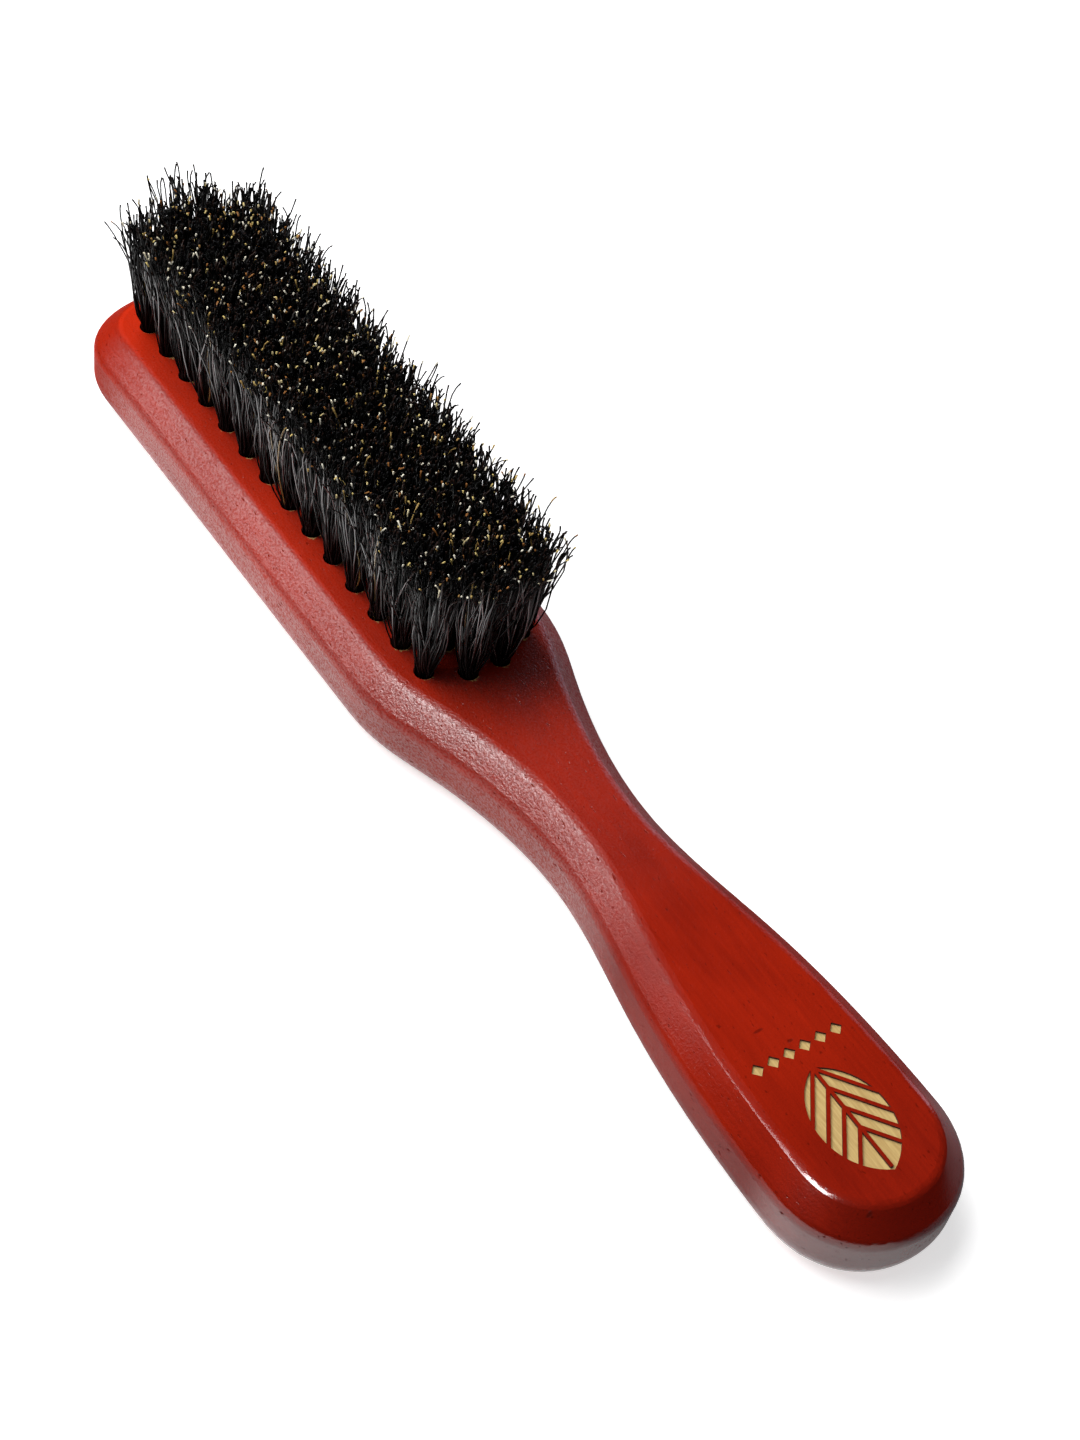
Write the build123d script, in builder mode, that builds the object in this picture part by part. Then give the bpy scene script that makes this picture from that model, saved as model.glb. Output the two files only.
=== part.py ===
from build123d import *
import math
import os

# Beard brush: a one-piece lacquered wooden body, four staggered rows of natural-bristle
# tufts, and the flat anchor wires that hold the tufts in their blind holes.
# Millimetres. X runs along the brush towards the handle end, Y across it and Z up through
# the bristles. The origin is the middle of the body's outline, on its flat back face.

# --- driving dimensions: body ---
overall_length = 174.0
body_thickness = 12.0
head_half_width = 15.1
neck_half_width = 7.1
handle_half_width = 12.3

head_end_length = 11.0      # how far the head's rounded end reaches along X
handle_end_length = 12.5
head_end_fullness = 0.64    # 0.552 is an ellipse, and more is squarer
handle_end_fullness = 0.58
head_side_taper = 0.4       # the head is this much slimmer per side where the neck begins

shoulder_x = -11.0          # where the straight side of the head turns into the neck
neck_entry_x = 2.7          # half way down from the shoulder to the neck
neck_entry_half_width = 11.4
neck_x = 25.0               # the slimmest place
palm_x = 44.5               # half way up from the neck to the full handle
palm_half_width = 9.95

bevel_width = 3.4           # the sloping band between the top face and the side
bevel_drop = 3.6
bevel_top_radius = 1.4
bevel_side_radius = 2.2
back_radius = 4.0

# --- driving dimensions: bristle field ---
tuft_pitch = 5.5            # along a row
row_spacing = 4.9
outer_row_count = 14
inner_row_count = outer_row_count + 1
first_outer_tuft_from_tip = 9.9
hole_radius = 1.35
hole_depth = 7.0
bristle_length = 18.0       # from the top face to the trimmed tips
tuft_clearance = 0.05
tuft_spread_radius = 2.3    # at the tips
tuft_straight_length = 3.0  # bound part above the hole, before the bristles spread
tuft_crown = 0.6            # the middle of a tuft stands this much over its rim

# --- driving dimensions: anchor wires ---
anchor_thickness = 0.3
anchor_height = 1.6
anchor_bite = 0.35          # how far each end cuts into the wall of the hole
anchor_angle = 90.0         # turned across the grain, so that the wood does not split
anchor_clearance = 0.04
fold_height = 0.6           # bristle folded under the wire

# --- driving dimensions: ornament cut through the lacquer on the handle ---
ornament_depth = 0.3
leaf_x = 72.5
leaf_length = 15.0
leaf_width = 9.6
rib_width = 0.45
vein_spacing = 2.9
vein_count = 4
vein_angle = 38.0
lozenge_row_x = 62.2
lozenge_size = 1.25
lozenge_spacing = 2.3
lozenge_count = 6

# --- derived places ---
tip_x = -overall_length / 2
handle_end_x = overall_length / 2
hole_floor = body_thickness - hole_depth
anchor_floor = hole_floor + fold_height
anchor_length = 2 * (hole_radius + anchor_bite)
bristle_top = body_thickness + bristle_length
crease_height = body_thickness - bevel_drop
vein_length = leaf_width / 2 / math.sin(math.radians(vein_angle))   # from the rib to the rim

first_outer_x = tip_x + first_outer_tuft_from_tip
row_layout = {
    1: (-1.5 * row_spacing, first_outer_x, outer_row_count),
    2: (-0.5 * row_spacing, first_outer_x - tuft_pitch / 2, inner_row_count),
    3: (0.5 * row_spacing, first_outer_x - tuft_pitch / 2, inner_row_count),
    4: (1.5 * row_spacing, first_outer_x, outer_row_count),
}
tuft_places = {
    f"tuft_row{row}_{i + 1:02d}": (start_x + i * tuft_pitch, y)
    for row, (y, start_x, count) in row_layout.items()
    for i in range(count)
}


def rounded_end(end_x, side_x, half_width, fullness):
    """A quarter of a squarish ellipse, from the centre line to the side of the body."""
    reach = end_x - side_x
    return Bezier(
        (end_x, 0),
        (end_x, fullness * half_width),
        (side_x + fullness * reach, half_width),
        (side_x, half_width),
    )


# --- wooden body: head, neck and handle in one piece ---
with BuildPart() as wood_body:
    with BuildSketch():
        with BuildLine():
            head_end = rounded_end(
                tip_x, tip_x + head_end_length, head_half_width, head_end_fullness
            )
            handle_end = rounded_end(
                handle_end_x,
                handle_end_x - handle_end_length,
                handle_half_width,
                handle_end_fullness,
            )
            head_side = Line(head_end @ 1, (shoulder_x, head_half_width - head_side_taper))
            Spline(
                head_side @ 1,
                (neck_entry_x, neck_entry_half_width),
                (neck_x, neck_half_width),
                (palm_x, palm_half_width),
                handle_end @ 1,
                tangents=[head_side % 1, (1, 0)],
            )
            mirror(about=Plane.XZ)
        make_face()
    extrude(amount=body_thickness)

    top_face = wood_body.faces().sort_by(Axis.Z)[-1]
    chamfer(top_face.edges(), length=bevel_width, length2=bevel_drop, reference=top_face)
    crease_edges = wood_body.edges().filter_by_position(
        Axis.Z, crease_height - 0.01, crease_height + 0.01
    )
    fillet(crease_edges, radius=bevel_side_radius)
    fillet(wood_body.edges().group_by(Axis.Z)[-1], radius=bevel_top_radius)
    fillet(wood_body.edges().group_by(Axis.Z)[0], radius=back_radius)

    with BuildSketch(Plane.XY.offset(body_thickness)):
        with Locations(*tuft_places.values()):
            Circle(hole_radius)
    extrude(amount=-hole_depth, mode=Mode.SUBTRACT)

    # the ends of each wire bite into the wall, and the fibres close again above them
    with BuildSketch(Plane.XY.offset(anchor_floor)):
        with Locations(*tuft_places.values()):
            Rectangle(
                anchor_length + 2 * anchor_clearance,
                anchor_thickness + 2 * anchor_clearance,
                rotation=anchor_angle,
            )
    extrude(amount=anchor_height + anchor_clearance, mode=Mode.SUBTRACT)

    with BuildSketch(Plane.XY.offset(body_thickness)):
        with BuildLine():
            stem = (leaf_x - leaf_length / 2, 0)
            point = (leaf_x + leaf_length / 2, 0)
            ThreePointArc(stem, (leaf_x, leaf_width / 2), point)
            ThreePointArc(stem, (leaf_x, -leaf_width / 2), point)
        make_face()
        with Locations((leaf_x - rib_width, 0)):
            Rectangle(leaf_length, rib_width, mode=Mode.SUBTRACT)
        for side in (1, -1):
            with Locations((leaf_x, side * leaf_width / 4)):
                with GridLocations(vein_spacing, 0, vein_count, 1):
                    Rectangle(
                        vein_length,
                        rib_width,
                        rotation=side * vein_angle,
                        mode=Mode.SUBTRACT,
                    )
        with Locations((lozenge_row_x, 0)):
            with GridLocations(0, lozenge_spacing, 1, lozenge_count):
                Rectangle(lozenge_size, lozenge_size, rotation=45)
    extrude(amount=-ornament_depth, mode=Mode.SUBTRACT)

wood_body.part.label = "wood_body"

# --- anchor wires: one short flat wire across the floor of every hole ---
with BuildPart() as anchor_wires:
    with BuildSketch(Plane.XY.offset(anchor_floor)):
        with Locations(*tuft_places.values()):
            Rectangle(anchor_length, anchor_thickness, rotation=anchor_angle)
    extrude(amount=anchor_height)

anchor_wires.part.label = "anchor_wires"


def make_tuft(name, x, y):
    """One bundle of bristles, folded under its wire and spreading above the top face."""
    shank_radius = hole_radius - tuft_clearance
    spread_start = body_thickness + tuft_straight_length
    with BuildPart() as tuft:
        with BuildSketch(Plane((x, y, 0), x_dir=(1, 0, 0), z_dir=(0, -1, 0))):
            with BuildLine():
                Line((0, hole_floor), (shank_radius, hole_floor))
                Line((shank_radius, hole_floor), (shank_radius, spread_start))
                Line((shank_radius, spread_start), (tuft_spread_radius, bristle_top - tuft_crown))
                TangentArc(
                    (0, bristle_top),
                    (tuft_spread_radius, bristle_top - tuft_crown),
                    tangent=(1, 0),
                )
                Line((0, bristle_top), (0, hole_floor))
            make_face()
        revolve(axis=Axis((x, y, 0), (0, 0, 1)))
        with BuildSketch(Plane.XY.offset(anchor_floor)):
            with Locations((x, y)):
                Rectangle(
                    anchor_length,
                    anchor_thickness + 2 * anchor_clearance,
                    rotation=anchor_angle,
                )
        extrude(amount=anchor_height + anchor_clearance, mode=Mode.SUBTRACT)
    tuft.part.label = name
    return tuft.part


os.makedirs("parts", exist_ok=True)
export_step(wood_body.part, "parts/wood_body.step")
export_step(anchor_wires.part, "parts/anchor_wires.step")
for tuft_name, (tuft_x, tuft_y) in tuft_places.items():
    export_step(make_tuft(tuft_name, tuft_x, tuft_y), f"parts/{tuft_name}.step")
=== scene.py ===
import math

import bpy
import numpy as np
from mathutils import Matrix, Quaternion, Vector


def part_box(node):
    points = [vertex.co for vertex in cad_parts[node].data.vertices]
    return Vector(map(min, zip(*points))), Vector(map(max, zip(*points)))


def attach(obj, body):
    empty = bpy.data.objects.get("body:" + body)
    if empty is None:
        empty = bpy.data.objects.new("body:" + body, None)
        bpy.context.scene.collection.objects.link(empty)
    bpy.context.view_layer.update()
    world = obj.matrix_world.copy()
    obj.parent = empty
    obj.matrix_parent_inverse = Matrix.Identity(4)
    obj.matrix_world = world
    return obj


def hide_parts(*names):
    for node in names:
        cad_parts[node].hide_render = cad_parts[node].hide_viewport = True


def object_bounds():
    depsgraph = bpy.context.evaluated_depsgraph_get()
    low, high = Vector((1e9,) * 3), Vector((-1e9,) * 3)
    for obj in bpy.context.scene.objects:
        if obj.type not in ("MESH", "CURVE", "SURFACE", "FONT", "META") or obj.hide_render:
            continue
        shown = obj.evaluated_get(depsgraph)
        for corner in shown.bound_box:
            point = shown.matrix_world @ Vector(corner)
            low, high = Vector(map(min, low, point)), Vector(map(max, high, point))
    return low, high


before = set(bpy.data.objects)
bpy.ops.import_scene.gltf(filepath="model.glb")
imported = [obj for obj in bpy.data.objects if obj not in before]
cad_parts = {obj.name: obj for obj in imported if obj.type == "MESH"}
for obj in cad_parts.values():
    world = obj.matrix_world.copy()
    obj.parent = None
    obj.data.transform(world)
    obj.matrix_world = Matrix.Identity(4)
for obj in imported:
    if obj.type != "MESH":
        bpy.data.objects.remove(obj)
cad_low, cad_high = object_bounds()

MM = 0.001

# ---------------------------------------------------------------------------
# Places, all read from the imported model
# ---------------------------------------------------------------------------

body_low, body_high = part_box("wood_body")
FACE_Z = body_high.z
tuft_names = sorted(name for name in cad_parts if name.startswith("tuft_"))


def tuft_centre(name):
    low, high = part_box(name)
    return (low + high) / 2


def row_names(row):
    return [name for name in tuft_names if name.startswith(f"tuft_row{row}_")]


OUTER_START = tuft_centre(row_names(1)[0])
INNER_START = tuft_centre(row_names(2)[0])
PITCH = tuft_centre(row_names(1)[1]).x - OUTER_START.x
OUTER_Y = abs(OUTER_START.y)
FIELD_END_X = tuft_centre(row_names(2)[-1]).x
FIELD_MIDDLE_X = (INNER_START.x + FIELD_END_X) / 2
FIELD_HALF_LENGTH = (FIELD_END_X - INNER_START.x) / 2
HANDLE_HALF_WIDTH = max(
    v.co.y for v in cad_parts["wood_body"].data.vertices if v.co.x > body_high.x / 2
)
_, wires_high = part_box("anchor_wires")
WIRE_TOP = wires_high.z
WIRE_HALF_THICKNESS = wires_high.x - FIELD_END_X


def shank_radius(name):
    """Radius of a CAD tuft at the floor of its hole."""
    low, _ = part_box(name)
    centre = tuft_centre(name)
    return max(
        math.hypot(v.co.x - centre.x, v.co.y - centre.y)
        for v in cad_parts[name].data.vertices
        if v.co.z < low.z + 0.1 * MM
    )


# ---------------------------------------------------------------------------
# A small helper for node materials
# ---------------------------------------------------------------------------


class Shader:
    """Builds one material's nodes. Values may be numbers, colours or sockets."""

    def __init__(self, name):
        self.material = bpy.data.materials.new(name)
        self.material.use_nodes = True
        self.tree = self.material.node_tree
        self.tree.nodes.clear()

    def add(self, kind, **settings):
        node = self.tree.nodes.new(kind)
        for key, value in settings.items():
            setattr(node, key, value)
        return node

    def put(self, socket, value):
        if isinstance(value, bpy.types.NodeSocket):
            self.tree.links.new(value, socket)
        elif isinstance(value, (tuple, list)) and len(value) == 3 and socket.type == "RGBA":
            socket.default_value = (*value, 1.0)
        else:
            socket.default_value = value

    def math(self, operation, a, b=0.0, c=0.0, clamp=False):
        node = self.add("ShaderNodeMath", operation=operation, use_clamp=clamp)
        for socket, value in zip(node.inputs, (a, b, c)):
            self.put(socket, value)
        return node.outputs[0]

    def position(self):
        """Place in the row frame, in millimetres, as a vector and as x, y and z."""
        place = self.add("ShaderNodeTexCoord").outputs["Object"]
        scale = self.add("ShaderNodeVectorMath", operation="SCALE")
        self.put(scale.inputs[0], place)
        self.put(scale.inputs["Scale"], 1 / MM)
        split = self.add("ShaderNodeSeparateXYZ")
        self.put(split.inputs[0], scale.outputs[0])
        return scale.outputs[0], split.outputs[0], split.outputs[1], split.outputs[2]

    def stretched(self, vector, x, y, z):
        node = self.add("ShaderNodeVectorMath", operation="MULTIPLY")
        self.put(node.inputs[0], vector)
        node.inputs[1].default_value = (x, y, z)
        return node.outputs[0]

    def noise(self, vector, scale, detail=3.0, roughness=0.5, distortion=0.0):
        node = self.add("ShaderNodeTexNoise")
        self.put(node.inputs["Vector"], vector)
        for key, value in (
            ("Scale", scale),
            ("Detail", detail),
            ("Roughness", roughness),
            ("Distortion", distortion),
        ):
            self.put(node.inputs[key], value)
        return node.outputs[0]

    def ramp(self, value, low, high, start=0.0, end=1.0):
        """Smooth step from start to end as value goes from low to high."""
        node = self.add("ShaderNodeMapRange", interpolation_type="SMOOTHSTEP")
        for key, number in (
            ("Value", value),
            ("From Min", low),
            ("From Max", high),
            ("To Min", start),
            ("To Max", end),
        ):
            self.put(node.inputs[key], number)
        return node.outputs[0]

    def along(self, x, low, high, start, end):
        """Smooth step along the handle, between two shares of the way from the middle of the
        brush to the handle's end."""
        reach = body_high.x / MM
        return self.ramp(x, low * reach, high * reach, start, end)

    def mix(self, factor, a, b):
        node = self.add("ShaderNodeMix", data_type="RGBA", blend_type="MIX")
        self.put(node.inputs["Factor"], factor)
        self.put(node.inputs[6], a)
        self.put(node.inputs[7], b)
        return node.outputs[2]

    def random(self, value):
        """A random number between 0 and 1 for each whole value."""
        node = self.add("ShaderNodeTexWhiteNoise", noise_dimensions="1D")
        self.put(node.inputs["W"], value)
        return node.outputs["Value"]

    def bump(self, height, distance):
        node = self.add("ShaderNodeBump")
        self.put(node.inputs["Height"], height)
        self.put(node.inputs["Distance"], distance)
        self.put(node.inputs["Strength"], 1.0)
        return node.outputs[0]

    def surface(self, **inputs):
        node = self.add("ShaderNodeBsdfPrincipled")
        for key, value in inputs.items():
            self.put(node.inputs[key.replace("_", " ")], value)
        output = self.add("ShaderNodeOutputMaterial")
        self.put(output.inputs["Surface"], node.outputs[0])
        return self.material


# ---------------------------------------------------------------------------
# Wood
# ---------------------------------------------------------------------------

STAIN_BRIGHT = (0.55, 0.024, 0.005)
STAIN_DEEP = (0.24, 0.0095, 0.0028)
PORE_DARK = (0.07, 0.004, 0.002)
BARE_WOOD = (0.68, 0.49, 0.19)
BARE_WOOD_LINE = (0.52, 0.33, 0.11)
BURNT_AND_SHADED_WOOD = (0.10, 0.022, 0.008)
BAND_SPACING = 45.0         # of the paler bands in the stain, in millimetres
BEVEL_FALL = 0.32           # how far the lacquer turns over at the top of the bevel, in millimetres
BEVEL_LOW = 0.62 * FACE_Z
MARK_START_X = 0.6 * body_high.x
MARK_END_X = 0.94 * body_high.x
MARK_HALF_WIDTH = 0.55 * body_high.y
MARK_FLOOR_DEPTH = 0.2 * MM     # anything level and deeper than this is the floor of the mark
HOLE_REACH_X = abs(body_low.x) - 4 * MM     # upright faces of the head within this reach are
HOLE_REACH_Y = 0.65 * body_high.y           # the walls of holes


def rim_mask(shader, place, x, y):
    """1 on the ragged crescent where the drill chipped the lacquer beside a tuft hole."""
    hole = shank_radius(tuft_names[0]) / MM
    across = shader.math("ABSOLUTE", y)

    def chip_distance(row):
        """Distance from the nearest hole of a row, grown on the side where nothing chipped."""
        first, last = (tuft_centre(name) for name in (row_names(row)[0], row_names(row)[-1]))
        steps = shader.math("DIVIDE", shader.math("SUBTRACT", x, first.x / MM), PITCH / MM)
        nearest = shader.math("MAXIMUM", shader.math("ROUND", steps), 0.0)
        nearest = shader.math("MINIMUM", nearest, float(round((last.x - first.x) / PITCH)))
        along = shader.math("MULTIPLY", shader.math("SUBTRACT", steps, nearest), PITCH / MM)
        aside = shader.math("SUBTRACT", across, abs(first.y) / MM)
        square = shader.math("MULTIPLY_ADD", along, along, shader.math("MULTIPLY", aside, aside))
        return shader.math("MULTIPLY_ADD", along, -0.28, shader.math("SQRT", square))

    distance = shader.math("MINIMUM", chip_distance(1), chip_distance(2))
    ragged = shader.noise(place, 1.3, 4.0, 0.7)
    limit = shader.math("MULTIPLY_ADD", ragged, 1.7, hole - 1.08)
    return shader.ramp(shader.math("SUBTRACT", limit, distance), 0.0, 0.05)


def nick(shader, x, y, centre, length, width):
    """1 inside a small dent in the lacquer that lies across the brush."""
    across = shader.math("DIVIDE", shader.math("SUBTRACT", x, centre[0] / MM), width / MM / 2)
    along = shader.math("DIVIDE", shader.math("SUBTRACT", y, centre[1] / MM), length / MM / 2)
    reach = shader.math("MULTIPLY_ADD", along, along, shader.math("MULTIPLY", across, across))
    return shader.ramp(reach, 1.0, 0.2)


def handle_dents(s, x, y):
    """1 inside the nick and the two small dents of the handle."""
    dents = nick(s, x, y, (0.667 * body_high.x, -0.2 * HANDLE_HALF_WIDTH), 1.7 * MM, 0.5 * MM)
    for share_x, share_y in ((0.70, 0.0), (0.95, -0.46)):
        centre = (share_x * body_high.x, share_y * HANDLE_HALF_WIDTH)
        dents = s.math("MAXIMUM", dents, nick(s, x, y, centre, 1.0 * MM, 0.5 * MM))
    return dents


def stain_and_shade(s, x, fibres, clouds):
    """The wood is lightest at the head and darker towards the handle's end, with broad paler bands
    of stain across the brush. Where the grain runs out at the two ends it takes more stain and is
    also darkened with painted shade, and the bevel of the head and neck is darkened with painted
    shade."""
    facing = s.add("ShaderNodeSeparateXYZ")
    s.put(facing.inputs[0], s.add("ShaderNodeNewGeometry").outputs["Normal"])
    # painted shade and end grain: faces turned to the two ends are darkened, where end grain takes
    # more stain
    end_grain_and_shade = s.ramp(s.math("ABSOLUTE", facing.outputs[0]), 0.25, 0.75, 0.0, 0.35)
    upward = facing.outputs[2]
    # painted shade: sloping faces of the head and neck are darkened by up to half
    sloping = s.math("MULTIPLY", s.ramp(upward, 0.2, 0.5), s.ramp(upward, 0.98, 0.85))
    bevel_shade = s.math("MULTIPLY", sloping, s.along(x, 0.45, 0.7, 1.0, 0.0))
    fade = s.ramp(x, body_low.x / MM, body_high.x / MM, 0.5, -0.25)
    warped = s.math("MULTIPLY_ADD", clouds, 14.0, s.math("SUBTRACT", x, 17.0))
    bands = s.math("COSINE", s.math("MULTIPLY", warped, 2 * math.pi / BAND_SPACING))
    tone = s.math("MULTIPLY_ADD", clouds, 0.9, s.math("MULTIPLY_ADD", bands, 0.12, fade))
    tone = s.math("SUBTRACT", s.math("MINIMUM", tone, 1.0), end_grain_and_shade)
    tone = s.math("MULTIPLY", tone, s.math("MULTIPLY_ADD", bevel_shade, -0.5, 1.0))
    tone = s.math("MULTIPLY_ADD", s.math("SUBTRACT", fibres, 0.5), 0.5, tone, clamp=True)
    return s.mix(tone, STAIN_DEEP, STAIN_BRIGHT)


def lacquer(s, x, fibres, grit, dullness):
    """How much lacquer is left, from 0 to 1, before the pores and the chipped holes."""
    worn = s.math("MULTIPLY", s.along(x, 0.3, 0.5, 0.0, 0.75), s.along(x, 0.8, 0.9, 1.0, 0.0))
    matt = s.math("MULTIPLY", s.ramp(grit, 0.4, 0.62), s.math("MULTIPLY_ADD", dullness, 0.55, 0.05))
    streaks = s.math("MULTIPLY", s.ramp(fibres, 0.42, 0.62), s.math("MULTIPLY", dullness, 0.25))
    coat = s.math("SUBTRACT", 1.0, s.math("MAXIMUM", matt, streaks))
    coat = s.math("MULTIPLY", coat, s.math("SUBTRACT", 1.0, worn))
    thin_at_head = s.ramp(x, 0.92 * body_low.x / MM, 0.74 * body_low.x / MM, 0.15, 1.0)
    return s.math("MULTIPLY", coat, thin_at_head)


def turned_over(s, x, z, relief):
    """The relief with the bevel turning over softly at its top edge."""
    up_bevel = s.math("SUBTRACT", z, BEVEL_LOW / MM)
    up_bevel = s.math("DIVIDE", up_bevel, (FACE_Z - BEVEL_LOW) / MM, clamp=True)
    fall = s.along(x, 0.5, 0.8, -BEVEL_FALL, -0.4 * BEVEL_FALL)
    return s.math("MULTIPLY_ADD", s.math("POWER", up_bevel, 4.0), fall, relief)


def lacquered_wood():
    """Red-brown stained hardwood. The lacquer is dull and grainy at the head, and polished
    but worn thin on the handle, where it has been held."""
    s = Shader("lacquered_wood")
    place, x, y, z = s.position()
    fibres = s.noise(s.stretched(place, 0.06, 1.0, 1.0), 2.2, 4.0, 0.6, 0.3)
    clouds = s.noise(s.stretched(place, 0.4, 1.0, 1.0), 0.13, 4.0, 0.6)
    grit = s.noise(place, 3.0, 3.0, 0.6)
    specks = s.noise(s.stretched(place, 0.4, 1.0, 1.0), 2.6, 2.0, 0.5)
    pores = s.ramp(specks, 0.66, 0.74)
    rims = rim_mask(s, place, x, y)
    dents = handle_dents(s, x, y)

    colour = stain_and_shade(s, x, fibres, clouds)
    colour = s.mix(s.math("MULTIPLY", pores, 0.5), colour, PORE_DARK)
    colour = s.mix(s.math("MULTIPLY", rims, 0.75), colour, BARE_WOOD)
    # painted shade: the nick and the two dents of the handle are darkened for the shade in them
    colour = s.mix(s.math("MULTIPLY", dents, 0.6), colour, PORE_DARK)

    dullness = s.along(x, 0.2, 0.85, 1.0, 0.0)
    coat = lacquer(s, x, fibres, grit, dullness)
    coat = s.math("MULTIPLY", coat, s.math("SUBTRACT", 1.0, s.math("MAXIMUM", rims, pores)))

    fine = s.math("SUBTRACT", grit, s.math("MULTIPLY", pores, 0.35))
    fine = s.math("MULTIPLY_ADD", fibres, 0.45, fine)
    relief = s.math("MULTIPLY", fine, s.math("MULTIPLY_ADD", dullness, 0.06, 0.015))
    relief = s.math("MULTIPLY_ADD", dents, -0.04, relief)
    relief = turned_over(s, x, z, relief)
    return s.surface(
        Base_Color=colour,
        Roughness=s.ramp(fibres, 0.2, 0.8, 0.6, 0.75),
        Specular_IOR_Level=0.0,
        Coat_Weight=coat,
        Coat_Roughness=s.math("MULTIPLY_ADD", dullness, 0.16, 0.14),
        Normal=s.bump(fine, 0.06 * MM),
        Coat_Normal=s.bump(relief, MM),
    )


def bare_wood(name, light, dark):
    """Unfinished wood with its grain along the brush."""
    s = Shader(name)
    place, _, _, _ = s.position()
    grain = s.noise(s.stretched(place, 0.08, 1.0, 1.0), 3.2, 4.0, 0.6, 0.4)
    flecks = s.noise(s.stretched(place, 0.3, 1.0, 1.0), 5.0, 2.0, 0.5)
    colour = s.mix(s.ramp(grain, 0.3, 0.72), dark, light)
    colour = s.mix(s.ramp(flecks, 0.6, 0.75, 0.0, 0.35), colour, dark)
    return s.surface(
        Base_Color=colour,
        Roughness=0.72,
        Specular_IOR_Level=0.25,
        Normal=s.bump(grain, 0.05 * MM),
    )


def dress_wood_body():
    """Lacquer outside, bare wood on the floor of the mark, burnt dark walls in the mark, and the
    walls of the holes painted dark as shade.
    """
    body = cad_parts["wood_body"]
    body.data.materials.clear()
    body.data.materials.append(lacquered_wood())
    body.data.materials.append(bare_wood("bare_wood", BARE_WOOD, BARE_WOOD_LINE))
    body.data.materials.append(bare_wood("burnt_and_shaded_wood", BURNT_AND_SHADED_WOOD, PORE_DARK))
    lacquered, bare, burnt_and_shaded_walls = range(3)
    for face in body.data.polygons:
        centre, normal = face.center, face.normal
        on_top = centre.z > FACE_Z - 0.5 * MM and abs(centre.y) < MARK_HALF_WIDTH
        in_mark = on_top and MARK_START_X < centre.x < MARK_END_X
        level = abs(normal.z) > 0.99
        upright = abs(normal.z) < 0.1
        in_field = centre.x < 0 and abs(centre.y) < OUTER_Y + PITCH / 2
        in_hole = in_field and abs(centre.x) < HOLE_REACH_X and abs(centre.y) < HOLE_REACH_Y
        if in_mark and level and centre.z < FACE_Z - MARK_FLOOR_DEPTH:
            face.material_index = bare
        # the walls of the mark are burnt; the walls of the holes are painted dark as shade
        elif upright and (in_mark or in_hole):
            face.material_index = burnt_and_shaded_walls
        else:
            face.material_index = lacquered


# ---------------------------------------------------------------------------
# Anchor wires
# ---------------------------------------------------------------------------


def anchor_steel():
    s = Shader("anchor_steel")
    place, _, _, _ = s.position()
    drawn = s.noise(s.stretched(place, 1.0, 0.05, 1.0), 12.0, 3.0, 0.6)
    colour = s.mix(drawn, (0.42, 0.42, 0.43), (0.62, 0.62, 0.63))
    return s.surface(
        Base_Color=colour,
        Metallic=1.0,
        Roughness=s.ramp(drawn, 0.2, 0.8, 0.25, 0.45),
        Normal=s.bump(drawn, 0.01 * MM),
    )


# ---------------------------------------------------------------------------
# Bristles
# ---------------------------------------------------------------------------

BRISTLES_PER_TUFT = 115
BRISTLE_SIDES = 5
BRISTLE_SHARES = (0.0, 0.15, 0.35, 0.55, 0.75, 0.9, 0.965, 1.0)
ROOT_RADIUS = 0.115 * MM
NECK_RADIUS = 0.105 * MM
TIP_RADIUS = 0.13 * MM
PLAIN_TIP_SHARE = 0.87      # this share of the bristles has no pale split tip
TAN_SHARE = 0.010
MERGE = 1.7                 # bristles spread past their CAD tuft, so that neighbours merge
WIRE_GAP = 0.04 * MM        # between a wire and the bristles that end above it
BRISTLE_BLACK = (0.003, 0.003, 0.003)
BRISTLE_GREY_SHEEN = (0.23, 0.235, 0.23)
BRISTLE_BROWN = (0.02, 0.009, 0.006)
BRISTLE_TAN = (0.45, 0.30, 0.10)
TIP_WHITE = (0.95, 0.90, 0.74)
TIP_YELLOW = (0.80, 0.62, 0.22)
TIP_AMBER = (0.34, 0.14, 0.04)


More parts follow.
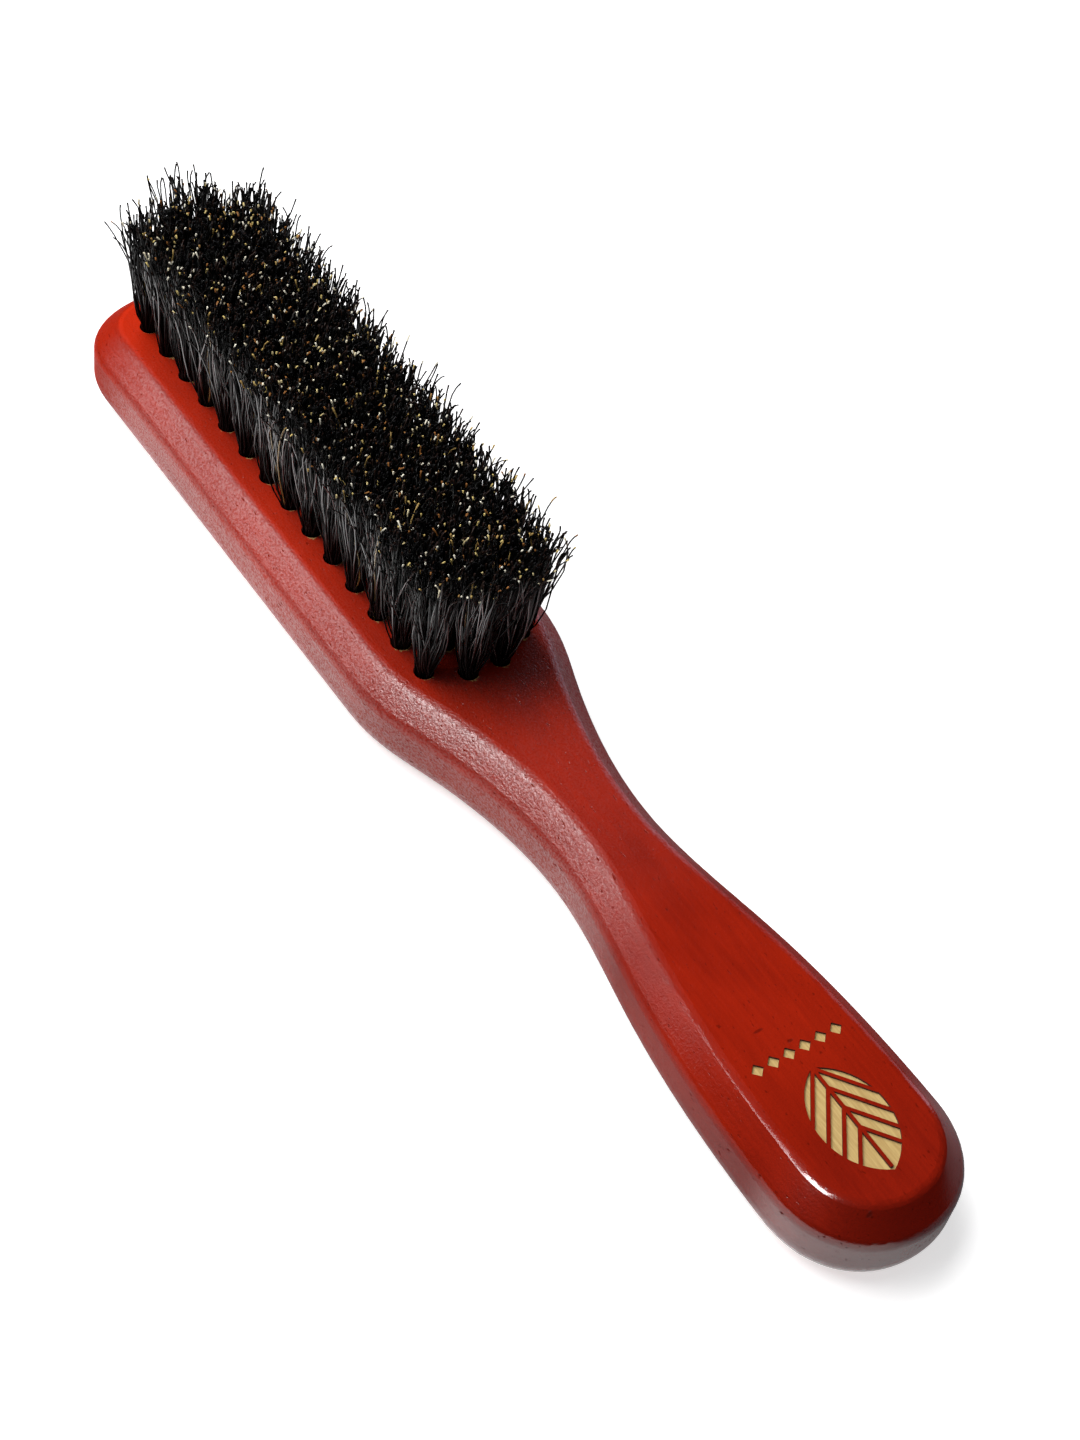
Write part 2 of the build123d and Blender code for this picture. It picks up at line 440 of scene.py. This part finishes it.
def bristle_material():
    """Each bristle has its own shade, and some have a pale split tip. Some are grey in their upper
    part, which stands partly for painted sheen, and painted shade keeps them black at the root and
    near the top.
    """
    s = Shader("bristle")
    uv = s.add("ShaderNodeUVMap", uv_map="OFBake").outputs[0]
    split = s.add("ShaderNodeSeparateXYZ")
    s.put(split.inputs[0], uv)
    number = s.math("FLOOR", s.math("MULTIPLY", split.outputs[0], float(BRISTLES_PER_TUFT)))
    height = split.outputs[1]
    tuft = s.add("ShaderNodeObjectInfo").outputs["Random"]
    number = s.math("MULTIPLY_ADD", tuft, 977.0, number)
    shade, hue, tan, pale = (s.random(s.math("ADD", number, 1517.0 * k)) for k in range(4))

    # painted sheen and shade: grey on some bristles stands partly for sheen on the strands, and it
    # fades to black towards the root and near the top as painted shade
    grey_and_sheen = s.math("MULTIPLY", s.ramp(shade, 0.74, 1.0), s.ramp(height, 0.25, 0.7))
    grey_and_sheen = s.math("MULTIPLY", grey_and_sheen, s.ramp(height, 0.97, 0.85))
    colour = s.mix(grey_and_sheen, BRISTLE_BLACK, BRISTLE_GREY_SHEEN)
    browned = s.math("MULTIPLY", s.ramp(height, 0.88, 1.0), s.ramp(hue, 0.6, 0.9))
    colour = s.mix(browned, colour, BRISTLE_BROWN)
    colour = s.mix(s.math("GREATER_THAN", tan, 1.0 - TAN_SHARE), colour, BRISTLE_TAN)

    tip_colour = s.mix(s.ramp(hue, 0.15, 0.45), TIP_AMBER, TIP_YELLOW)
    tip_colour = s.mix(s.ramp(hue, 0.5, 0.75), tip_colour, TIP_WHITE)
    tip_start = s.math("MULTIPLY_ADD", s.math("POWER", shade, 4.0), -0.05, 0.98)
    tip = s.ramp(s.math("SUBTRACT", height, tip_start), 0.0, 0.008)
    tip = s.math("MULTIPLY", tip, s.math("GREATER_THAN", pale, PLAIN_TIP_SHARE))
    colour = s.mix(tip, colour, tip_colour)
    gloss = s.math("MULTIPLY", s.ramp(height, 0.15, 0.6), s.ramp(height, 1.0, 0.85))
    gloss = s.math("MULTIPLY", gloss, s.ramp(hue, 0.5, 0.95, 0.05, 1.8))
    return s.surface(
        Base_Color=colour,
        Roughness=0.32,
        Specular_IOR_Level=s.math("ADD", gloss, 0.05),
    )


def bristle_paths(name, generator):
    """Centre lines of one tuft's bristles: an array of bristle, ring and coordinate."""
    low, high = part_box(name)
    centre = tuft_centre(name)
    count = BRISTLES_PER_TUFT
    hole = shank_radius(name) - ROOT_RADIUS
    angle = generator.uniform(0, 2 * math.pi, count)
    outward = np.stack([np.cos(angle), np.sin(angle)], axis=1)
    reach = np.sqrt(generator.uniform(0, 1, count))[:, None]
    root = np.array([centre.x, centre.y]) + hole * reach * outward

    # tufts at the rim of the field lean out, and some bristles stray at the tip of the head
    end = (centre.x - FIELD_MIDDLE_X) / FIELD_HALF_LENGTH
    side = centre.y / OUTER_Y
    tip_end = max(-end, 0.0) ** 10
    field_lean = np.array([0.5 * MM * end ** 7, 0.45 * MM * side])
    spread = MERGE * (high.x - low.x) / 2 - hole
    lean = spread * reach * outward * generator.uniform(0.4, 1.15, (count, 1)) + field_lean
    lean = lean + generator.normal(0, 0.85 * MM, (count, 2))
    stray = generator.uniform(0, 1, count) > 0.985 - 0.1 * tip_end
    lean[stray] = lean[stray] * 1.3 + generator.normal(0, 0.7 * MM, (stray.sum(), 2))
    lean[stray] += tip_end * np.array([-3.4 * MM, 1.2 * MM * side])
    bend = generator.normal(0, 0.65 * MM, (count, 2))
    wave = generator.normal(0, 0.3 * MM, (count, 2))
    hook = generator.normal(0, 0.3 * MM, (count, 2))

    bristle_length = high.z - FACE_Z
    length = bristle_length * (1 - np.abs(generator.normal(0, 0.055, count)))
    length = length + generator.normal(0, 0.35 * MM, count)
    length[stray] += generator.uniform(0, 1.3 * MM, stray.sum())

    rings = []
    for share in BRISTLE_SHARES:
        curve = bend * math.sin(math.pi * share) + wave * math.sin(2 * math.pi * share)
        curled = hook * max(0.0, (share - 0.9) / 0.1) ** 2
        spot = root + lean * share ** 1.5 + curve + curled
        rings.append(np.column_stack([spot, FACE_Z + share * length]))
    # the bristles over the anchor wire stop just above it, and the rest reach the hole's floor
    over_wire = np.abs(root[:, 0] - centre.x) < WIRE_HALF_THICKNESS + ROOT_RADIUS + WIRE_GAP
    foot = np.where(over_wire, WIRE_TOP + WIRE_GAP, low.z)
    return np.stack([np.column_stack([root, foot]), *rings], axis=1)


def bristle_mesh(name, paths):
    """Closed tapered tubes round the paths, with a UV column for each bristle."""
    count, ring_count, _ = paths.shape
    sides = BRISTLE_SIDES
    turn = 2 * math.pi * np.arange(sides) / sides
    height_share = np.clip((paths[:, :, 2] - FACE_Z) / (paths[:, -1:, 2] - FACE_Z), 0, 1)
    neck_share = BRISTLE_SHARES[-2]
    radius = np.interp(height_share, (0, neck_share, 1), (ROOT_RADIUS, NECK_RADIUS, TIP_RADIUS))
    circle = np.stack([np.cos(turn), np.sin(turn), np.zeros(sides)], axis=1)
    points = paths[:, :, None, :] + radius[:, :, None, None] * circle
    vertices = points.reshape(-1, 3)

    faces = []
    uvs = []
    for i in range(count):
        first = i * ring_count * sides
        left = (i + 0.2) / count
        step = 0.6 / count / sides
        for ring in range(ring_count - 1):
            v_low, v_high = height_share[i, ring], height_share[i, ring + 1]
            for k in range(sides):
                a = first + ring * sides + k
                b = first + ring * sides + (k + 1) % sides
                faces.append((a, b, b + sides, a + sides))
                u_left, u_right = left + k * step, left + (k + 1) * step
                uvs += [(u_left, v_low), (u_right, v_low), (u_right, v_high), (u_left, v_high)]
        bottom = tuple(first + k for k in reversed(range(sides)))
        top = tuple(first + (ring_count - 1) * sides + k for k in range(sides))
        faces += [bottom, top]
        middle = (i + 0.5) / count
        uvs += [(middle, 0.0)] * sides + [(middle, 1.0)] * sides

    mesh = bpy.data.meshes.new(name)
    mesh.from_pydata(vertices.tolist(), [], faces)
    layer = mesh.uv_layers.new(name="OFBake")
    layer.data.foreach_set("uv", np.array(uvs, np.float32).ravel())
    mesh.shade_smooth()
    return mesh


def build_tufts():
    material = bristle_material()
    for index, node in enumerate(tuft_names):
        generator = np.random.default_rng(4100 + index)
        piece_name = node.replace("tuft_", "bristles_")
        mesh = bristle_mesh(piece_name, bristle_paths(node, generator))
        mesh.materials.append(material)
        piece = bpy.data.objects.new(piece_name, mesh)
        bpy.context.scene.collection.objects.link(piece)
        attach(piece, "root")
        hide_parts(node)


# ---------------------------------------------------------------------------
# Studio
# ---------------------------------------------------------------------------


def floor():
    """Pale paper. It throws little light back up, and it mirrors darker beyond the brush, as it
    would with black cards standing round the set. It also glows though it is no lamp: white to the
    camera, which lifts its shadows, and brighter than lit paper in reflections on the near side of
    the brush."""
    s = Shader("studio_floor")
    place, x, y, _ = s.position()
    path = s.add("ShaderNodeLightPath").outputs
    near_side = s.ramp(y, body_low.y / MM, body_high.y / MM, 1.0, 0.0)
    mirrored_near = s.math("MULTIPLY", path["Is Glossy Ray"], near_side)
    past_head = s.ramp(x, 1.02 * body_low.x / MM, 1.3 * body_low.x / MM)
    mirrored_near = s.math("MULTIPLY", mirrored_near, s.math("SUBTRACT", 1.0, past_head))
    mirrored_far = s.math("SUBTRACT", path["Is Glossy Ray"], mirrored_near)
    paper = s.noise(place, 0.4, 3.0, 0.5)
    colour = s.mix(paper, (0.86, 0.86, 0.86), (0.89, 0.89, 0.89))
    colour = s.mix(path["Is Diffuse Ray"], colour, (0.16, 0.16, 0.16))
    colour = s.mix(mirrored_far, colour, (0.30, 0.30, 0.32))
    # painted reflection: the floor glows in reflections on the near side of the brush
    glow = s.math("MULTIPLY", mirrored_near, 1.15)
    distance = s.math("SQRT", s.math("MULTIPLY_ADD", x, x, s.math("MULTIPLY", y, y)))
    # the floor glows to the camera, more strongly far from the brush, which lifts its shadows
    camera_glow = s.ramp(distance, 500.0, 2000.0, 0.62, 1.3)
    glow = s.math("MULTIPLY_ADD", path["Is Camera Ray"], camera_glow, glow)
    material = s.surface(
        Base_Color=colour,
        Roughness=0.7,
        Specular_IOR_Level=0.2,
        Emission_Color=(1.0, 1.0, 1.0),
        Emission_Strength=glow,
        Normal=s.bump(paper, 0.01 * MM),
    )
    bpy.ops.mesh.primitive_circle_add(vertices=96, radius=6.0, fill_type="NGON")
    sheet = bpy.context.object
    sheet.name = "studio_floor"
    sheet.location.z = cad_low.z
    sheet.data.materials.append(material)


def direction(azimuth, elevation):
    """Unit vector towards a place round the brush; azimuth 0 is -Y and 90 is +X."""
    a, e = math.radians(azimuth), math.radians(elevation)
    return Vector((math.sin(a) * math.cos(e), -math.cos(a) * math.cos(e), math.sin(e)))


def softbox(name, azimuth, elevation, distance, size, radiance, colour=(1, 1, 1), seen_by=()):
    """A rectangular light aimed at the brush. seen_by names the rays that it can reach."""
    width, height = size
    light = bpy.data.lights.new(name, "AREA")
    light.shape = "RECTANGLE"
    light.size, light.size_y = width, height
    light.energy = 4 * radiance * width * height
    light.color = colour
    holder = bpy.data.objects.new(name, light)
    towards = direction(azimuth, elevation)
    holder.location = towards * distance
    holder.rotation_mode = "QUATERNION"
    holder.rotation_quaternion = towards.to_track_quat("Z", "Y")
    holder.visible_camera = False
    holder.visible_diffuse = "diffuse" in seen_by
    holder.visible_glossy = "glossy" in seen_by
    bpy.context.scene.collection.objects.link(holder)


def studio_world():
    """White to the camera, a weak fill on the surfaces, and nearly black in reflections."""
    world = bpy.data.worlds.new("studio")
    bpy.context.scene.world = world
    world.use_nodes = True
    nodes, links = world.node_tree.nodes, world.node_tree.links
    nodes.clear()
    path = nodes.new("ShaderNodeLightPath")
    seen, ambient, mirrored = (nodes.new("ShaderNodeBackground") for _ in range(3))
    seen.inputs["Color"].default_value = (1, 1, 1, 1)
    ambient.inputs["Color"].default_value = (0.95, 0.97, 1, 1)
    ambient.inputs["Strength"].default_value = 0.12
    mirrored.inputs["Color"].default_value = (0.9, 0.93, 1, 1)
    mirrored.inputs["Strength"].default_value = 0.01
    glossy_mix = nodes.new("ShaderNodeMixShader")
    links.new(path.outputs["Is Glossy Ray"], glossy_mix.inputs[0])
    links.new(ambient.outputs[0], glossy_mix.inputs[1])
    links.new(mirrored.outputs[0], glossy_mix.inputs[2])
    camera_mix = nodes.new("ShaderNodeMixShader")
    links.new(path.outputs["Is Camera Ray"], camera_mix.inputs[0])
    links.new(glossy_mix.outputs[0], camera_mix.inputs[1])
    links.new(seen.outputs[0], camera_mix.inputs[2])
    output = nodes.new("ShaderNodeOutputWorld")
    links.new(camera_mix.outputs[0], output.inputs["Surface"])


def camera():
    """Looks down on the brush from beyond the handle, rolled as a hand-held shot is."""
    azimuth, elevation, roll = 46.66, 49.29, 11.92
    lens_mm, sensor_mm = 61.14, 36.0
    brush_lengths_away = 1.7505
    distance = brush_lengths_away * (body_high.x - body_low.x)
    data = bpy.data.cameras.new("camera")
    data.lens = lens_mm
    data.sensor_width = sensor_mm
    data.clip_start = 0.01
    holder = bpy.data.objects.new("camera", data)
    back = direction(azimuth, elevation)
    aim = Vector((0.0908 * body_high.x, 0.084 * body_high.y, FACE_Z))
    holder.location = aim + back * distance
    level = (-back).to_track_quat("-Z", "Y")
    holder.rotation_mode = "QUATERNION"
    holder.rotation_quaternion = level @ Quaternion((0, 0, 1), math.radians(roll))
    bpy.context.scene.collection.objects.link(holder)
    bpy.context.scene.camera = holder


# ---------------------------------------------------------------------------
# Assembly
# ---------------------------------------------------------------------------

dress_wood_body()
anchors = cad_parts["anchor_wires"]
anchors.data.materials.clear()
anchors.data.materials.append(anchor_steel())
build_tufts()

floor()
studio_world()
softbox("key", -66, 53, 1.2, (1.4, 1.1), 3.7, seen_by=("diffuse",))
softbox("window", -46, 23, 1.0, (0.42, 0.28), 7.5, seen_by=("glossy",))
softbox("upper_window", -16, 49, 1.0, (0.7, 0.22), 20.0, seen_by=("glossy",))
softbox("kicker", 4, 62, 1.0, (0.3, 0.3), 34.0, seen_by=("glossy",))
softbox("far_sky", -151, 12, 1.0, (0.7, 0.35), 2.4, (0.88, 0.82, 1.0), seen_by=("glossy",))
camera()
bpy.context.scene.view_settings.view_transform = "Standard"
